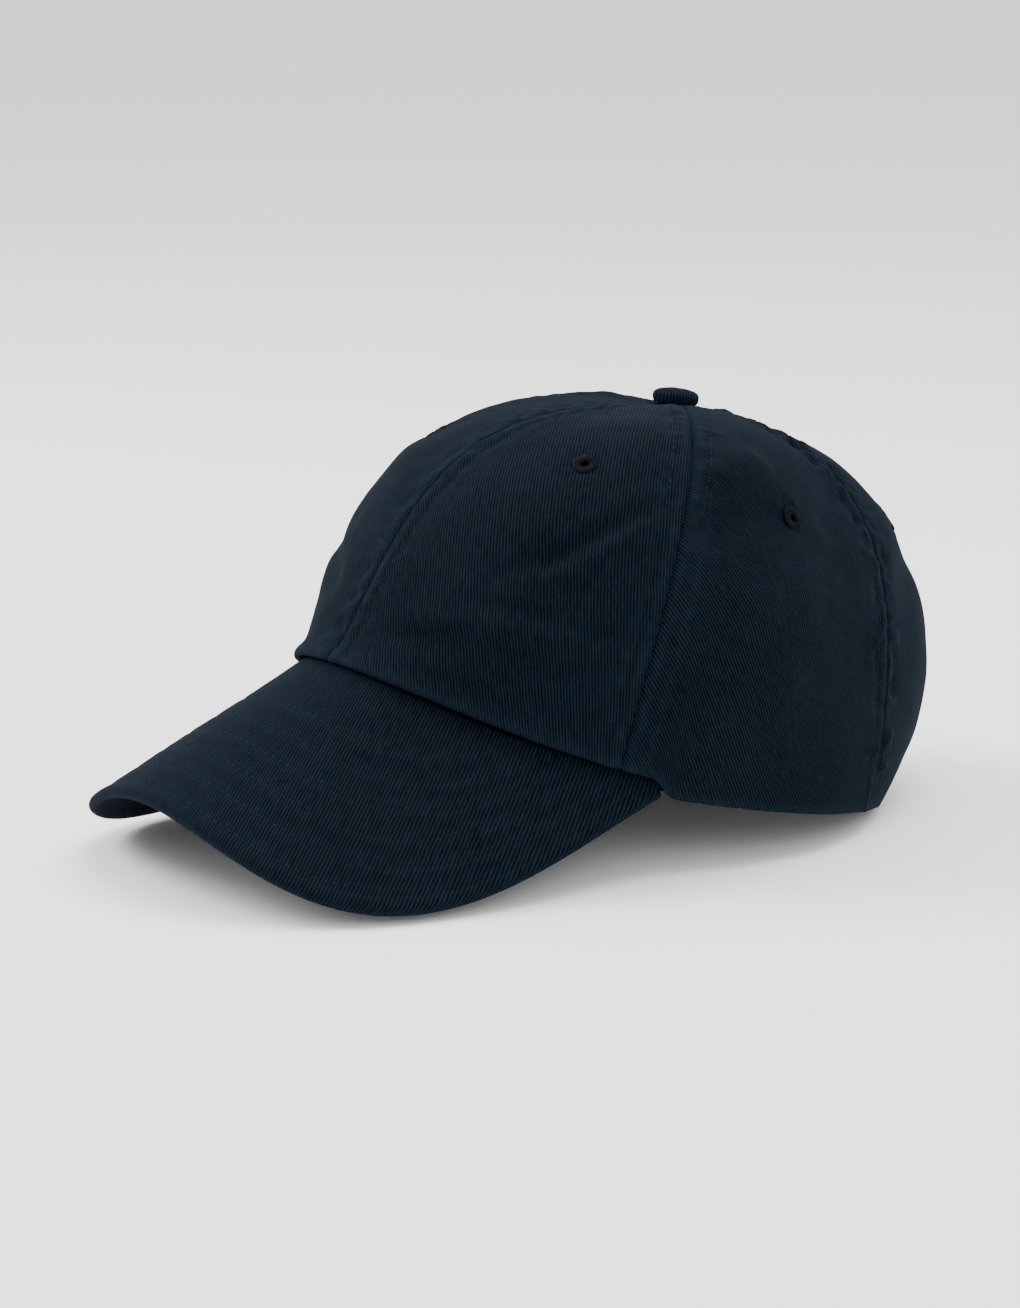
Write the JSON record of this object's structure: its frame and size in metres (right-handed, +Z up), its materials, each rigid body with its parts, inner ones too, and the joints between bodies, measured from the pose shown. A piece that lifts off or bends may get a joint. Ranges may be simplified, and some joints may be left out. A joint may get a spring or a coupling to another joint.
{
  "type": "baseball cap",
  "caption": "Soft-crowned cap with a curved brim, a covered top button, stitched eyelets and a strap with a clasp at the back.",
  "frame": {"origin": "on the surface that the cap stands on, under the middle of its length and width", "axes": "+Z up, the brim points to -Y, +X to the wearer's left"},
  "size_m": [0.1722, 0.299, 0.1391],
  "materials": {
    "washed_twill": "garment-washed navy cotton twill",
    "eyelet_thread": "satin-stitched navy thread",
    "seam_tape": "navy cotton tape",
    "sweatband_twill": "navy cotton twill, soft",
    "satin_label": "woven satin, blank",
    "brim_board": "moulded polyethylene board",
    "plated_steel": "plated",
    "antique_brass": "antiqued, brushed"
  },
  "bodies": {
    "cap": {"front_panel_left": "washed_twill", "front_panel_right": "washed_twill", "side_panel_left": "washed_twill", "side_panel_right": "washed_twill", "back_panel_left": "washed_twill", "back_panel_right": "washed_twill", "tape_front": "seam_tape", "tape_side_left": "seam_tape", "tape_side_right": "seam_tape", "tape_rear_left": "seam_tape", "tape_rear_right": "seam_tape", "tape_back": "seam_tape", "opening_binding": "seam_tape", "sweatband": "sweatband_twill", "care_label": "satin_label", "brim_cover_top": "washed_twill", "brim_board": "brim_board", "brim_cover_under": "washed_twill", "eyelet_front_left": "eyelet_thread", "eyelet_front_right": "eyelet_thread", "eyelet_side_left": "eyelet_thread", "eyelet_side_right": "eyelet_thread", "eyelet_back_left": "eyelet_thread", "eyelet_back_right": "eyelet_thread", "button_cover": "washed_twill", "button_shell": "plated_steel", "button_rivet": "plated_steel", "button_back": "seam_tape", "clasp_tab": "washed_twill", "clasp_frame": "antique_brass", "clasp_pin": "plated_steel"},
    "strap": {"rear_strap": "washed_twill"},
    "lever": {"clasp_lever": "antique_brass"}
  },
  "joints": [
    {"name": "strap_adjust", "type": "hinge", "parent": "cap", "child": "strap", "pos_m": [0, 0.05125, 0.00155], "axis": [0, 0.2079, 0.9781], "range_deg": [-8, 12]},
    {"name": "clasp_lever_open", "type": "hinge", "parent": "cap", "child": "lever", "pos_m": [-0.03268, 0.12212, 0.0101], "axis": [-0.0657, 0.3637, 0.9292], "range_deg": [0, 100]}
  ]
}
